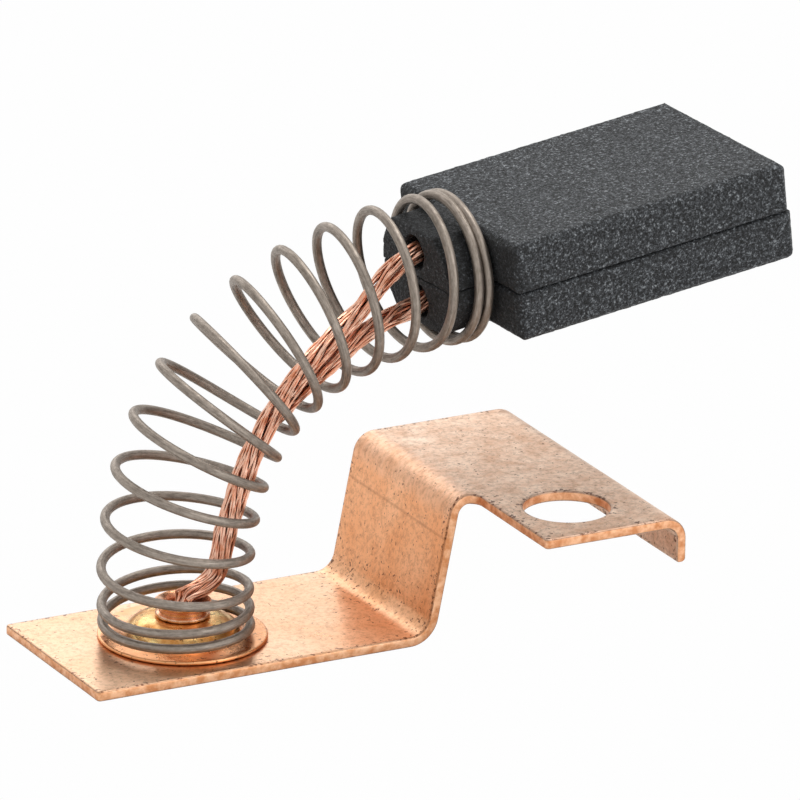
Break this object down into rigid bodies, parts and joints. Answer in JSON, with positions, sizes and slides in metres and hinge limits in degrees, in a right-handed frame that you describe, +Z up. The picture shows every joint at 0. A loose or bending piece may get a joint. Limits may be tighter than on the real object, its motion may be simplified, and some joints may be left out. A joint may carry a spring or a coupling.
{
  "type": "carbon brush",
  "caption": "Split carbon block on a bent coil spring with two copper pigtails, riveted to a folded copper terminal strip with a screw tab.",
  "frame": {"origin": "axis of the screw hole, on the underside of the terminal's shelf", "axes": "+Z up along the screw hole's axis, +X along the terminal strip from its free end towards the lip, +Y away from the screw tab"},
  "size_m": [0.0381, 0.0191, 0.0212],
  "materials": {
    "copper_sheet": "rolled copper alloy sheet, semi-gloss, slightly tarnished",
    "copper_cap": "pressed copper alloy cap, semi-gloss",
    "eyelet_brass": "turned and rolled brass eyelet",
    "spring_wire": "drawn spring wire, satin, brownish grey",
    "copper_rope": "bare stranded copper rope",
    "carbon": "pressed carbon, fine grained, matt",
    "copper_powder": "tamped copper powder"
  },
  "bodies": {
    "terminal": {"terminal_strip": "copper_sheet", "spring_seat": "copper_cap", "eyelet": "eyelet_brass", "spring": "spring_wire", "pigtail_upper": "copper_rope", "pigtail_lower": "copper_rope"},
    "brush": {"carbon_upper": "carbon", "carbon_lower": "carbon", "tamping_upper": "copper_powder", "tamping_lower": "copper_powder"}
  },
  "joints": [
    {"name": "brush_travel", "type": "slide", "parent": "terminal", "child": "brush", "axis": [0.9919, 0.0502, 0.1167], "range_m": [-0.006, 0], "stiffness_N_per_m": 160, "deforming": ["spring", "pigtail_upper", "pigtail_lower"]}
  ]
}
